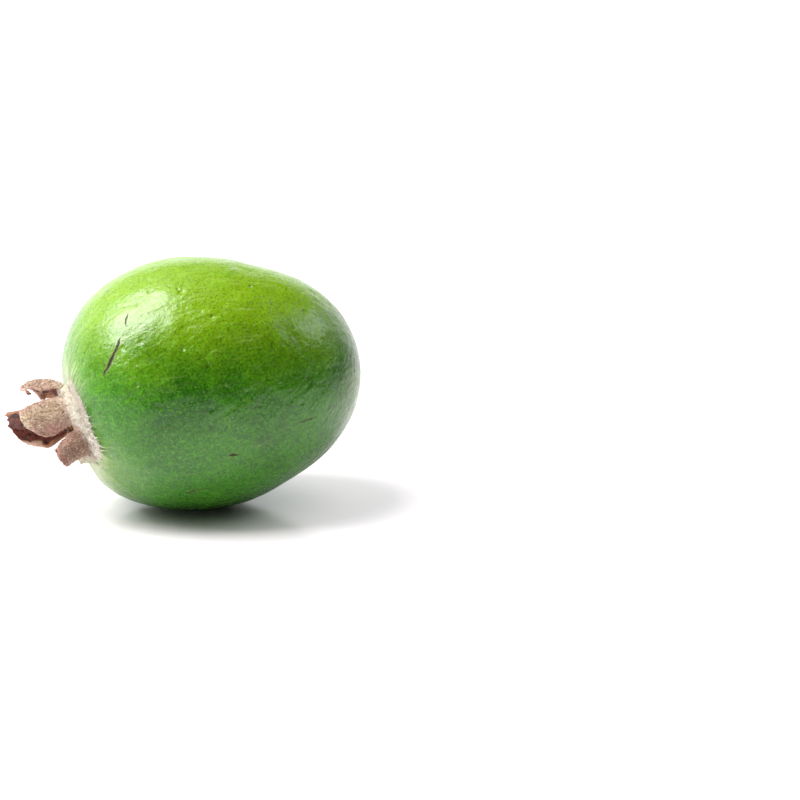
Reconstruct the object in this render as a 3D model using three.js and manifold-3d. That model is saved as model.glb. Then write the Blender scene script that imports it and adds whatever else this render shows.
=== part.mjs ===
// Feijoa (pineapple guava), one whole fruit lying on its side with its dried calyx still on.
// Millimetres, +Z up. The calyx points towards -X and a little down, the stem end is at +X.
import * as THREE from 'three';
import { mergeVertices } from 'three/addons/utils/BufferGeometryUtils.js';
import ManifoldModule from 'manifold-3d';

// ---- fruit body
const HALF_LENGTH = 29.6;
const RADIUS = 24.6;
const ROUNDNESS = 2.05; // root of the end profiles, 2 is an ellipse
const STEM_FULLNESS = 1.7; // power of the stem half, which tapers more than an ellipse
const CALYX_FULLNESS = 3.28; // the calyx half is blunter
const TOP_SWELL = { height: 0.8, crest: 7.5, period: 35 }; // crest measured towards the calyx
const BELLY_SWELL = { height: 0.5, crest: 4.5, period: 30 };
const CALYX_RISE = 0.5; // the calyx end lies above the straight axis
const RISE_FROM = -0.2; // the rise starts here along the body, stem end -1 and calyx end 1
const PROFILE_BLEND = { from: -0.5, to: 0.8 }; // the stem profile passes into the calyx one in between
const BODY_TILT = 5.1; // degrees, calyx end down
const REST_DEPTH = 24.85; // from the middle of the body down to the flat resting spot
const STEM_PIT_DEPTH = 1.1;
const STEM_PIT_RADIUS = 2.6;
const BODY_COLUMNS = 64;
const BODY_ROWS = 40;
const REST_BLOCK = { wide: 90, high: 20 }; // takes off everything under the resting spot

// ---- calyx, in its own frame: Z outward along the calyx, X towards the front, Y up
const CALYX_AT = new THREE.Vector3(-27.2, -2.0, -6.5); // from the middle of the body
const CALYX_PITCH = 12; // degrees below the horizontal
const CALYX_YAW = 5; // degrees towards the front
const CALYX_FRONT = new THREE.Vector3(0.015, -0.948, 0.318);
const CROWN_HOLLOW = { depth: 0.6, inner: 8, outer: 13 }; // the skin sinks a little round the calyx
const GAP = 0.3; // clearance between neighbouring pieces
const COLLAR_RADIUS = 9.7;
const RIM_RADIUS = 7.6;
const RIM_HEIGHT = 1.5;
const COLLAR_SLOPE = [ // radius and height of the felt from its foot up to the rim
  [COLLAR_RADIUS, 0.45], [COLLAR_RADIUS - 0.3, 0.7], [8.9, 0.86], [8.3, 1.0], [RIM_RADIUS + 0.3, 1.16],
  [RIM_RADIUS, RIM_HEIGHT - 0.1], [RIM_RADIUS - 0.35, RIM_HEIGHT],
];
const RIM_LIFT = { height: 1.0, angle: 20, spread: 40, from: -0.3 }; // higher under the front sepal
const COLLAR_SEGMENTS = 56;
const CUP_SEGMENTS = 48;
const CUT_REACH = 6; // how far the cutting shapes run past the cup
const PLUG_RADIUS = 6.9;
const PLUG_DEPTH = -1.6;
const DISH_RADIUS = 6.3;
const DISH_FLOOR = -0.3;
const DISH_FLOOR_RADIUS = 5.4;
const DISH_SIDE_HEIGHT = 0.6;
const DISH_LIP = 0.35; // the dish opens out by this much at the rim

// ---- sepals: angle about the calyx from the front towards the top; angle, flare, lean and curl in
// degrees; cup is the radius across the leaf, blunt rounds its outline
const SEPALS = [
  {
    name: 'sepal_upper', color: 0xb79a7b, angle: 103, root: 8.9, start: 1.65, flare: 42, lean: 2,
    length: 7.9, width: 9.2, thick: 1.0, curl: 62, cup: 3.9, blunt: 0.48,
  },
  {
    name: 'sepal_front', color: 0xa8835f, angle: 27, root: 7.2, start: 2.95, flare: 12, lean: 2,
    length: 8.4, width: 9.0, thick: 1.0, curl: 36, cup: 6.2, blunt: 0.36,
  },
  {
    name: 'sepal_lower', color: 0x8a6a52, angle: -31, root: 8.3, start: 2.1, flare: 24, lean: 14,
    length: 6.2, width: 7.8, thick: 0.9, curl: -6, cup: 2.8, blunt: 0.34,
  },
  {
    name: 'sepal_back', color: 0x7b3f2c, angle: 173, root: 6.9, start: 1.9, flare: 4, lean: 10,
    length: 10.3, width: 9.6, thick: 0.9, curl: 6, cup: 4.8, blunt: 0.38,
  },
];

const SEPAL_COLUMNS = 24;
const SEPAL_ROWS = 16;
const SEPAL_BELLY = 0.5; // extra width halfway along
const SEPAL_ENDS = 0.86; // share of the width kept at both ends
const SEPAL_THIN = 0.45; // how much thinner the side edges are
const SEPAL_HOLD = 0.6; // over this share of the length the root's curve passes into the cup

// ---- dried flower parts left inside the calyx
const STYLE_LENGTH = 4.6;
const STYLE_RADIUS = 0.75;
const STYLE_BEND = 26; // degrees over its length
const STYLE_TIP = 0.25;
const STYLE_STEPS = 10;
const STYLE_FOOT = 1.5; // width of the foot against the radius
const STYLE_TAPER = 1.1;
const STYLE_HEAD = { from: 0.75, growth: 2.2 }; // the stigma widens again from here up
const STYLE_SEGMENTS = 16;
const STAMEN_RING_RADIUS = 4.35;
const STAMEN_RING_WIRE = 0.5;
const STAMEN_RING_HALF_HEIGHT = 0.32;
const STAMEN_RING_STEPS = 8;
const STAMEN_RING_SEGMENTS = 36;
const FILAMENT_COUNT = 18;
const FILAMENT_RADIUS = 0.2;
const FILAMENT_SIDES = 6;
const FILAMENT_TAPER = 0.6;
const FILAMENT_HEIGHT = { middle: 1.5, slow: 0.7, quick: 0.35 };
const FILAMENT_LEAN = { middle: 10, change: 16 }; // degrees outwards
const FILAMENT_SHIFT = 0.06; // radians off the even spacing

const rad = THREE.MathUtils.degToRad;
const kernel = await ManifoldModule();
kernel.setup();

function material(color, roughness) {
  return new THREE.MeshStandardMaterial({ color, roughness });
}

// the vertices of a geometry moved one by one
function reshape(geometry, move) {
  const place = geometry.getAttribute('position');
  const point = new THREE.Vector3();
  for (let i = 0; i < place.count; i += 1) {
    point.fromBufferAttribute(place, i);
    move(point);
    place.setXYZ(i, point.x, point.y, point.z);
  }
  return geometry;
}

function toSolid(geometry) {
  const bare = new THREE.BufferGeometry();
  bare.setAttribute('position', geometry.getAttribute('position').clone());
  if (geometry.index) bare.setIndex(geometry.index.clone());
  const joined = mergeVertices(bare, 1e-4);
  const mesh = new kernel.Mesh({
    numProp: 3,
    vertProperties: new Float32Array(joined.getAttribute('position').array),
    triVerts: new Uint32Array(joined.index.array),
  });
  mesh.merge();
  return new kernel.Manifold(mesh);
}

function fromSolid(solid) {
  const mesh = solid.getMesh();
  const geometry = new THREE.BufferGeometry();
  geometry.setAttribute('position', new THREE.BufferAttribute(new Float32Array(mesh.vertProperties), 3));
  geometry.setIndex(new THREE.BufferAttribute(new Uint32Array(mesh.triVerts), 1));
  const flat = geometry.toNonIndexed();
  flat.computeVertexNormals();
  return flat;
}

// a turned solid from (radius, height) pairs, standing along Z
function turned(profile, segments) {
  const points = profile.map(([radius, height]) => new THREE.Vector2(radius, height));
  return new THREE.LatheGeometry(points, segments).rotateX(Math.PI / 2);
}

// ---- calyx frame
const calyxAxis = new THREE.Vector3(
  -Math.cos(rad(CALYX_PITCH)) * Math.cos(rad(CALYX_YAW)),
  -Math.cos(rad(CALYX_PITCH)) * Math.sin(rad(CALYX_YAW)),
  -Math.sin(rad(CALYX_PITCH)),
);
const calyxUp = new THREE.Vector3().crossVectors(calyxAxis, CALYX_FRONT).normalize();
const calyxFront = new THREE.Vector3().crossVectors(calyxUp, calyxAxis);
const calyxTurn = new THREE.Matrix4().makeBasis(calyxFront, calyxUp, calyxAxis);
calyxTurn.setPosition(CALYX_AT);
const calyxTurnBack = calyxTurn.clone().invert();

const bodyTurn = new THREE.Matrix4().makeBasis(
  new THREE.Vector3(0, 1, 0),
  new THREE.Vector3(-Math.cos(rad(BODY_TILT)), 0, -Math.sin(rad(BODY_TILT))),
  new THREE.Vector3(-Math.sin(rad(BODY_TILT)), 0, Math.cos(rad(BODY_TILT))),
);

// ---- fruit body, `extra` swells it evenly for the clearance under the calyx cup
function bodyShape(extra) {
  const shape = new THREE.SphereGeometry(1, BODY_COLUMNS, BODY_ROWS);
  return reshape(shape, (point) => {
    const t = THREE.MathUtils.clamp(point.y, -1, 1);
    const ring = Math.hypot(point.x, point.z);
    const side = ring > 1e-6 ? point.x / ring : 0;
    const top = ring > 1e-6 ? point.z / ring : 0;
    const blend = THREE.MathUtils.smoothstep(t, PROFILE_BLEND.from, PROFILE_BLEND.to);
    const fullness = STEM_FULLNESS + (CALYX_FULLNESS - STEM_FULLNESS) * blend;
    const round = Math.max(0, 1 - Math.abs(t) ** fullness) ** (1 / ROUNDNESS);
    const swell = top > 0 ? TOP_SWELL : BELLY_SWELL;
    const wave = Math.cos((2 * Math.PI * (HALF_LENGTH * t - swell.crest)) / swell.period);
    const radius = (RADIUS + swell.height * wave * top * top) * round + extra * ring;
    const pit = STEM_PIT_DEPTH * Math.exp(-((radius / STEM_PIT_RADIUS) ** 4)) * (t < 0 ? 1 : 0);
    const rise = CALYX_RISE * Math.max(0, (t - RISE_FROM) / (1 - RISE_FROM)) ** 3;
    point.set(radius * side, (HALF_LENGTH + extra) * t + pit, radius * top + rise);
    point.applyMatrix4(bodyTurn).applyMatrix4(calyxTurnBack);
    const away = Math.hypot(point.x, point.y);
    const hollow = 1 - THREE.MathUtils.smoothstep(away, CROWN_HOLLOW.inner, CROWN_HOLLOW.outer);
    if (t > 0) point.z -= CROWN_HOLLOW.depth * hollow;
    point.applyMatrix4(calyxTurn);
  });
}

// the pocket that holds the plug of the calyx cup
const pocket = toSolid(turned([
  [0, PLUG_DEPTH - GAP], [PLUG_RADIUS + GAP, PLUG_DEPTH - GAP], [PLUG_RADIUS + GAP, CUT_REACH], [0, CUT_REACH],
], CUP_SEGMENTS).applyMatrix4(calyxTurn));

const belowRest = toSolid(new THREE.BoxGeometry(REST_BLOCK.wide, REST_BLOCK.wide, REST_BLOCK.high)
  .translate(0, 0, -REST_DEPTH - REST_BLOCK.high / 2));
const bodySolid = toSolid(bodyShape(0))
  .subtract(pocket)
  .subtract(belowRest);

// ---- calyx cup: felt collar round the crown of the fruit, with a shallow dish inside
function liftRim(point) {
  const angle = THREE.MathUtils.radToDeg(Math.atan2(point.y, point.x));
  const near = Math.exp(-(((angle - RIM_LIFT.angle) / RIM_LIFT.spread) ** 2));
  point.z += RIM_LIFT.height * near * THREE.MathUtils.smoothstep(point.z, RIM_LIFT.from, RIM_HEIGHT);
}

const collar = toSolid(reshape(turned([
  [0, -CUT_REACH], [COLLAR_RADIUS, -CUT_REACH], ...COLLAR_SLOPE, [0, RIM_HEIGHT],
], COLLAR_SEGMENTS), liftRim).applyMatrix4(calyxTurn));
const plug = toSolid(turned([
  [0, PLUG_DEPTH], [PLUG_RADIUS, PLUG_DEPTH], [PLUG_RADIUS, RIM_HEIGHT - 0.2], [0, RIM_HEIGHT - 0.2],
], CUP_SEGMENTS).applyMatrix4(calyxTurn));
const dish = toSolid(turned([
  [0, DISH_FLOOR], [DISH_FLOOR_RADIUS - 0.5, DISH_FLOOR], [DISH_FLOOR_RADIUS, DISH_FLOOR + 0.2],
  [DISH_RADIUS - 0.25, DISH_SIDE_HEIGHT], [DISH_RADIUS, RIM_HEIGHT - 0.2],
  [DISH_RADIUS + DISH_LIP, RIM_HEIGHT + 0.05], [DISH_RADIUS + DISH_LIP, CUT_REACH], [0, CUT_REACH],
], CUP_SEGMENTS).applyMatrix4(calyxTurn));
const cupSolid = collar
  .subtract(toSolid(bodyShape(GAP)))
  .add(plug)
  .subtract(dish);

// ---- one sepal: a ball flattened to a leaf, cupped across and curled along its length
function sepalShape(spec) {
  const shape = new THREE.SphereGeometry(1, SEPAL_COLUMNS, SEPAL_ROWS);
  const curlRadius = spec.length / rad(spec.curl);
  return reshape(shape, (point) => {
    const along = (1 + point.y) / 2;
    const ring = Math.hypot(point.x, point.z);
    const across = ring > 1e-6 ? point.x / ring : 0;
    const through = ring > 1e-6 ? point.z / ring : 0;
    const outline = SEPAL_ENDS + SEPAL_BELLY * along * (1 - along);
    const reach = (spec.width / 2) * ring ** spec.blunt * outline;
    const half = (spec.thick / 2) * Math.sqrt(ring) * (1 - SEPAL_THIN * across * across);
    const hold = THREE.MathUtils.smoothstep(along, 0, SEPAL_HOLD);
    const cup = THREE.MathUtils.lerp(spec.root, spec.cup, hold); // the root follows the rim
    const turn = (reach * across) / cup;
    const depth = (cup + half * through) * Math.cos(turn) - cup;
    const wide = (cup + half * through) * Math.sin(turn);
    const bend = (along * spec.length) / curlRadius;
    point.set(wide, (curlRadius + depth) * Math.sin(bend), (curlRadius + depth) * Math.cos(bend) - curlRadius);
  });
}

function placeSepal(spec) {
  const flare = rad(spec.flare);
  const stand = new THREE.Matrix4().makeBasis(
    new THREE.Vector3(0, 1, 0),
    new THREE.Vector3(Math.sin(flare), 0, Math.cos(flare)),
    new THREE.Vector3(Math.cos(flare), 0, -Math.sin(flare)),
  );
  stand.setPosition(spec.root, 0, spec.start);
  return sepalShape(spec)
    .rotateZ(rad(spec.lean))
    .applyMatrix4(stand)
    .rotateZ(rad(spec.angle))
    .applyMatrix4(calyxTurn);
}

// ---- dried style in the middle of the dish
function styleShape() {
  const profile = [];
  for (let i = 0; i <= STYLE_STEPS; i += 1) {
    const up = i / STYLE_STEPS;
    const head = STYLE_HEAD.growth * Math.max(0, up - STYLE_HEAD.from) * up;
    profile.push([STYLE_RADIUS * (STYLE_FOOT - STYLE_TAPER * up + head), up * STYLE_LENGTH]);
  }
  const stub = turned([[0, 0], ...profile, [0, STYLE_LENGTH + STYLE_TIP]], STYLE_SEGMENTS);
  const bendRadius = STYLE_LENGTH / rad(STYLE_BEND);
  reshape(stub, (point) => {
    const bend = point.z / bendRadius;
    const arm = bendRadius - point.x;
    point.set(bendRadius - arm * Math.cos(bend), point.y, arm * Math.sin(bend));
  });
  return stub.translate(0, 0, DISH_FLOOR + GAP).applyMatrix4(calyxTurn);
}

// ---- ring of broken filaments round the style
function stamenShape() {
  const ringProfile = [];
  for (let i = 0; i <= STAMEN_RING_STEPS; i += 1) {
    const turn = (i / STAMEN_RING_STEPS) * 2 * Math.PI;
    ringProfile.push([
      STAMEN_RING_RADIUS + STAMEN_RING_WIRE * Math.cos(turn),
      DISH_FLOOR + GAP + STAMEN_RING_HALF_HEIGHT * (1 + Math.sin(turn)),
    ]);
  }
  let solid = toSolid(turned(ringProfile, STAMEN_RING_SEGMENTS));
  for (let i = 0; i < FILAMENT_COUNT; i += 1) {
    const change = FILAMENT_HEIGHT.slow * Math.sin(i * 2.4) + FILAMENT_HEIGHT.quick * Math.cos(i * 5.1);
    const height = FILAMENT_HEIGHT.middle + change;
    const spin = (i / FILAMENT_COUNT) * 2 * Math.PI + FILAMENT_SHIFT * Math.sin(i * 3.7);
    const lean = rad(FILAMENT_LEAN.middle + FILAMENT_LEAN.change * Math.sin(i * 1.9));
    const tipRadius = FILAMENT_RADIUS * FILAMENT_TAPER;
    const filament = new THREE.CylinderGeometry(tipRadius, FILAMENT_RADIUS, height, FILAMENT_SIDES)
      .rotateX(Math.PI / 2)
      .translate(0, 0, height / 2)
      .rotateY(-lean)
      .translate(STAMEN_RING_RADIUS, 0, DISH_FLOOR + GAP + 0.3)
      .rotateZ(spin);
    solid = solid.add(toSolid(filament));
  }
  return fromSolid(solid).applyMatrix4(calyxTurn);
}

const group = new THREE.Group();
group.name = 'feijoa';

function addPiece(name, geometry, paint) {
  const mesh = new THREE.Mesh(geometry, paint);
  mesh.name = name;
  group.add(mesh);
}

addPiece('fruit_body', fromSolid(bodySolid), material(0x4f8a22, 0.42));
addPiece('calyx_cup', fromSolid(cupSolid), material(0xb9bd95, 0.95));
for (const spec of SEPALS) addPiece(spec.name, placeSepal(spec), material(spec.color, 0.9));
addPiece('style_stub', styleShape(), material(0x5a3a26, 0.9));
addPiece('stamen_ring', stamenShape(), material(0x7a4a2c, 0.9));

// the bottom centre of the bounding box becomes the origin
const box = new THREE.Box3().setFromObject(group);
group.position.set(-(box.min.x + box.max.x) / 2, -(box.min.y + box.max.y) / 2, -box.min.z);
group.updateMatrixWorld(true);

export default group;
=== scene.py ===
# Feijoa lying on its side: waxy green skin, felted collar and four dried sepals.
# Everything is in metres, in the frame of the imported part: +Z up, calyx towards -X.
import math
import random

import bpy
import numpy as np
from mathutils import Matrix, Vector, noise


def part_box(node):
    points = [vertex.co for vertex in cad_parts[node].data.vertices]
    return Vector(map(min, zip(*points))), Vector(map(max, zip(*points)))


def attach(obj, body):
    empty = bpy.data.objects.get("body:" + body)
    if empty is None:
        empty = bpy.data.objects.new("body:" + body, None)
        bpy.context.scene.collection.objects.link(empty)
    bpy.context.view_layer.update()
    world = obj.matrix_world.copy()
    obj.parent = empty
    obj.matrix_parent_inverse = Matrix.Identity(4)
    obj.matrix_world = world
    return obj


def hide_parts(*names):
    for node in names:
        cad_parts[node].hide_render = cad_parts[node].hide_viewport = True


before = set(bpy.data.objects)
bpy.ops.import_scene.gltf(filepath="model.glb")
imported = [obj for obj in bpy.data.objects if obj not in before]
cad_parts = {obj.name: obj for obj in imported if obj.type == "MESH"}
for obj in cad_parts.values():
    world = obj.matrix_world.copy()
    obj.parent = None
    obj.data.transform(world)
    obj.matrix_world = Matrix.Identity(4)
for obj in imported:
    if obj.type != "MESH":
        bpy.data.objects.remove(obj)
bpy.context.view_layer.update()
scene = bpy.context.scene
mm = 0.001


# helpers for meshes

def pickNothing():
    if bpy.context.mode != "OBJECT":
        bpy.ops.object.mode_set(mode="OBJECT")
    bpy.ops.object.select_all(action="DESELECT")


def named(name):
    piece = bpy.context.active_object
    piece.name = name
    piece.data.name = name
    return piece


def meshPoints(piece):
    flat = np.empty(len(piece.data.vertices) * 3)
    piece.data.vertices.foreach_get("co", flat)
    return flat.reshape(-1, 3)


def setMeshPoints(piece, points):
    piece.data.vertices.foreach_set("co", np.asarray(points, float).ravel())
    piece.data.update()


def pieceFrom(name, corners, faces):
    mesh = bpy.data.meshes.new(name)
    mesh.from_pydata(corners, [], faces)
    mesh.update()
    piece = bpy.data.objects.new(name, mesh)
    scene.collection.objects.link(piece)
    return piece


def settle(piece):
    # the place goes into the mesh, so the object itself sits at the origin
    piece.data.transform(piece.matrix_world)
    piece.matrix_world = Matrix.Identity(4)


def pick(piece):
    pickNothing()
    piece.select_set(True)
    bpy.context.view_layer.objects.active = piece


def applyModifier(piece, kind, **settings):
    modifier = piece.modifiers.new(kind.title(), kind)
    for key, value in settings.items():
        setattr(modifier, key, value)
    pick(piece)
    bpy.ops.object.modifier_apply(modifier=modifier.name)


def smoothStep(value, low, high):
    k = min(1.0, max(0.0, (value - low) / (high - low)))
    return k * k * (3 - 2 * k)


def mix(a, b, k):
    return a + (b - a) * k


# form of the fruit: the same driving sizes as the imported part

fruitForm = {
    "halfLength": 29.6 * mm,
    "radius": 24.6 * mm,
    "roundness": 2.05,
    "stemFullness": 1.7,
    "calyxFullness": 3.28,
    "topSwell": (0.8 * mm, 7.5 * mm, 35 * mm),  # height, crest towards the calyx, period
    "bellySwell": (0.5 * mm, 4.5 * mm, 30 * mm),
    "calyxRise": 0.5 * mm,
    "tilt": math.radians(5.1),
    "stemPitDepth": 1.1 * mm,
    "stemPitRadius": 2.6 * mm,
    "stemScar": (1.3, 2.3),  # from full to nothing, millimetres from the axis
    "lumps": [(0.16, 3.4, (0, 0, 0)), (0.085, 7.5, (3, 1, 7)),  # height in millimetres, fineness, shift
              (0.055, 15, (0, 0, 0)), (0.03, 29, (5, 0, 2))],
    "furrows": (0.16, 5.5, 0.8),  # height, how many round the crown, how they wander along
    "furrowsFrom": (0.45, 0.93),
}
calyxForm = {
    "fromMiddle": Vector((-27.2, -2.0, -6.5)) * mm,
    "pitch": math.radians(12),
    "yaw": math.radians(5),
    "front": Vector((0.015, -0.948, 0.318)),
    "hollow": (0.6 * mm, 8, 13),  # depth, then the distances in millimetres between which it runs out
    "seat": (3.6 * mm, 6.6, 7.9),  # the same for the part hidden under the collar
}


def bodyRadius(t, top):
    form = fruitForm
    blend = smoothStep(t, -0.5, 0.8)
    fullness = mix(form["stemFullness"], form["calyxFullness"], blend)
    roundOff = max(0.0, 1 - abs(t) ** fullness) ** (1 / form["roundness"])
    height, crest, period = form["topSwell"] if top > 0 else form["bellySwell"]
    wave = math.cos(2 * math.pi * (form["halfLength"] * t - crest) / period)
    return (form["radius"] + height * wave * top * top) * roundOff


def bodyPoint(t, side, top, extra=0.0):
    form = fruitForm
    radius = bodyRadius(t, top) + extra
    pit = form["stemPitDepth"] * math.exp(-((radius / form["stemPitRadius"]) ** 4)) if t < 0 else 0.0
    rise = form["calyxRise"] * max(0.0, (t + 0.2) / 1.2) ** 3
    along = form["halfLength"] * t + pit
    high = radius * top + rise
    c, s = math.cos(form["tilt"]), math.sin(form["tilt"])
    return Vector((-along * c - high * s, radius * side, -along * s + high * c))


def bodyMiddle():
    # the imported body's box tells where the middle of the form lies
    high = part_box("fruit_body")[1]
    outline = [bodyPoint(math.cos(k * math.pi / 400), 0, top) for k in range(401) for top in (-1, 1)]
    return Vector((high.x - max(p.x for p in outline), 0, high.z - max(p.z for p in outline)))


middle = bodyMiddle()
calyxAxis = Vector((-math.cos(calyxForm["pitch"]) * math.cos(calyxForm["yaw"]),
                    -math.cos(calyxForm["pitch"]) * math.sin(calyxForm["yaw"]),
                    -math.sin(calyxForm["pitch"])))
calyxUp = calyxAxis.cross(calyxForm["front"]).normalized()
calyxFront = calyxUp.cross(calyxAxis)
calyxTurn = Matrix((calyxFront, calyxUp, calyxAxis)).transposed()
calyxPlace = Matrix.Translation(middle + calyxForm["fromMiddle"]) @ calyxTurn.to_4x4()
calyxInverse = calyxPlace.inverted()
print("frame read, middle of the fruit at", [round(v / mm, 2) for v in middle])


# helpers for nodes

def node(tree, kind, **settings):
    made = tree.nodes.new(kind)
    for key, value in settings.items():
        setattr(made, key, value)
    return made


def feed(tree, into, source):
    # source is an output to link, or a plain number or colour
    if isinstance(source, bpy.types.NodeSocket):
        tree.links.new(source, into)
    elif source is not None:
        into.default_value = source


def calc(tree, operation, a, b=None, c=None, clamp=False):
    made = node(tree, "ShaderNodeMath", operation=operation, use_clamp=clamp)
    for into, source in zip(made.inputs, (a, b, c)):
        feed(tree, into, source)
    return made.outputs[0]


def plus(tree, a, b):
    return calc(tree, "ADD", a, b)


def minus(tree, a, b):
    return calc(tree, "SUBTRACT", a, b)


def times(tree, a, b):
    return calc(tree, "MULTIPLY", a, b)


def vectorCalc(tree, operation, a, b=None, scale=None):
    made = node(tree, "ShaderNodeVectorMath", operation=operation)
    feed(tree, made.inputs[0], a)
    feed(tree, made.inputs[1], b)
    if scale is not None:
        feed(tree, made.inputs["Scale"], scale)
    isNumber = operation in ("LENGTH", "DISTANCE", "DOT_PRODUCT")
    return made.outputs["Value" if isNumber else "Vector"]


def remap(tree, value, low, high, toLow=0.0, toHigh=1.0, smooth=True):
    made = node(tree, "ShaderNodeMapRange", clamp=True)
    made.interpolation_type = "SMOOTHSTEP" if smooth else "LINEAR"
    for name, source in (("Value", value), ("From Min", low), ("From Max", high),
                         ("To Min", toLow), ("To Max", toHigh)):
        feed(tree, made.inputs[name], source)
    return made.outputs["Result"]


def grain(tree, vector, scale, detail=2.0, rough=0.5, distort=0.0):
    made = node(tree, "ShaderNodeTexNoise")
    feed(tree, made.inputs["Vector"], vector)
    for name, value in (("Scale", scale), ("Detail", detail), ("Roughness", rough),
                        ("Distortion", distort)):
        made.inputs[name].default_value = value
    return made.outputs["Fac"]


def dots(tree, vector, scale, radius, share, soft=0.45):
    # round spots in a share of the cells, 1 in the middle and 0 outside
    cells = node(tree, "ShaderNodeTexVoronoi", feature="F1")
    feed(tree, cells.inputs["Vector"], vector)
    cells.inputs["Scale"].default_value = scale
    cells.inputs["Randomness"].default_value = 1.0
    chance = node(tree, "ShaderNodeSeparateColor")
    tree.links.new(cells.outputs["Color"], chance.inputs[0])
    spot = remap(tree, cells.outputs["Distance"], radius, radius * soft)
    keep = calc(tree, "LESS_THAN", chance.outputs[0], share)
    size = remap(tree, chance.outputs[1], 0.0, 1.0, 0.35, 1.0, smooth=False)
    return times(tree, times(tree, spot, keep), size)


def blendColour(tree, share, a, b):
    made = node(tree, "ShaderNodeMix", data_type="RGBA")
    feed(tree, made.inputs["Factor"], share)
    feed(tree, made.inputs[6], a)
    feed(tree, made.inputs[7], b)
    return made.outputs[2]


def tinted(tree, base, mask, strength, paint):
    # paint laid over the base where the mask is, at the given strength
    return blendColour(tree, times(tree, mask, strength), base, paint)


def colour(red, green, blue):
    return (red, green, blue, 1.0)


def parts(tree, vector):
    split = node(tree, "ShaderNodeSeparateXYZ")
    tree.links.new(vector, split.inputs[0])
    return split.outputs


def objectPlace(tree):
    return node(tree, "ShaderNodeTexCoord").outputs["Object"]


def meshUv(tree, name):
    return node(tree, "ShaderNodeUVMap", uv_map=name).outputs[0]


def crownPlace(tree):
    # the calyx frame in millimetres: z outward along the calyx
    turned = node(tree, "ShaderNodeMapping", vector_type="TEXTURE")
    tree.links.new(objectPlace(tree), turned.inputs["Vector"])
    turned.inputs["Location"].default_value = calyxPlace.translation
    turned.inputs["Rotation"].default_value = calyxTurn.to_euler()
    turned.inputs["Scale"].default_value = (mm, mm, mm)
    return turned.outputs[0]


def newGroup(name, ins, outs):
    tree = bpy.data.node_groups.new(name, "ShaderNodeTree")
    for title, kind, value in ins:
        made = tree.interface.new_socket(title, in_out="INPUT", socket_type=kind)
        if value is not None:
            made.default_value = value
    for title, kind in outs:
        tree.interface.new_socket(title, in_out="OUTPUT", socket_type=kind)
    return tree, node(tree, "NodeGroupInput"), node(tree, "NodeGroupOutput")


def useGroup(tree, group, **sources):
    made = node(tree, "ShaderNodeGroup", node_tree=group)
    for title, source in sources.items():
        feed(tree, made.inputs[title], source)
    return made.outputs


def newMaterial(name, **settings):
    made = bpy.data.materials.new(name)
    made.use_nodes = True
    shader = made.node_tree.nodes["Principled BSDF"]
    for title, value in settings.items():
        shader.inputs[title.replace("_", " ")].default_value = value
    return made, made.node_tree, shader


def bumpFrom(tree, shader, height, depth):
    made = node(tree, "ShaderNodeBump")
    made.inputs["Strength"].default_value = 1.0
    made.inputs["Distance"].default_value = depth
    tree.links.new(height, made.inputs["Height"])
    tree.links.new(made.outputs[0], shader.inputs["Normal"])


# effects that several materials share

def makeCrownStreaks():
    # fine pale lines that run out from the calyx, and how far out a point lies
    tree, ins, outs = newGroup("crownStreaks",
                               [("Crown", "NodeSocketVector", None), ("Lines", "NodeSocketFloat", 7.0)],
                               [("Streak", "NodeSocketFloat"), ("Away", "NodeSocketFloat")])
    flat = vectorCalc(tree, "MULTIPLY", ins.outputs["Crown"], (1, 1, 0))
    away = vectorCalc(tree, "LENGTH", flat)
    spoke = vectorCalc(tree, "SCALE", vectorCalc(tree, "NORMALIZE", flat), scale=ins.outputs["Lines"])
    slide = node(tree, "ShaderNodeCombineXYZ")
    tree.links.new(times(tree, away, 0.09), slide.inputs["Z"])
    lines = grain(tree, vectorCalc(tree, "ADD", spoke, slide.outputs[0]), 1.6, 4.0, 0.62, 0.35)
    tree.links.new(lines, outs.inputs["Streak"])
    tree.links.new(away, outs.inputs["Away"])
    return tree


def makeFelt():
    # short matted hairs: crossed fine grain with a few darker flecks
    tree, ins, outs = newGroup("matFelt",
                               [("Crown", "NodeSocketVector", None), ("Pale", "NodeSocketColor", None),
                                ("Deep", "NodeSocketColor", None), ("Fleck", "NodeSocketColor", None)],
                               [("Colour", "NodeSocketColor"), ("Height", "NodeSocketFloat")])
    fine = grain(tree, ins.outputs["Crown"], 2.4, 4.0, 0.85, 0.8)
    broad = grain(tree, ins.outputs["Crown"], 0.75, 3.0, 0.6)
    tone = plus(tree, times(tree, fine, 0.65), times(tree, broad, 0.35))
    base = blendColour(tree, remap(tree, tone, 0.42, 0.58), ins.outputs["Deep"], ins.outputs["Pale"])
    flecks = dots(tree, ins.outputs["Crown"], 1.9, 0.3, 0.35)
    tree.links.new(blendColour(tree, times(tree, flecks, 0.75), base, ins.outputs["Fleck"]),
                   outs.inputs["Colour"])
    tree.links.new(fine, outs.inputs["Height"])
    return tree


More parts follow.
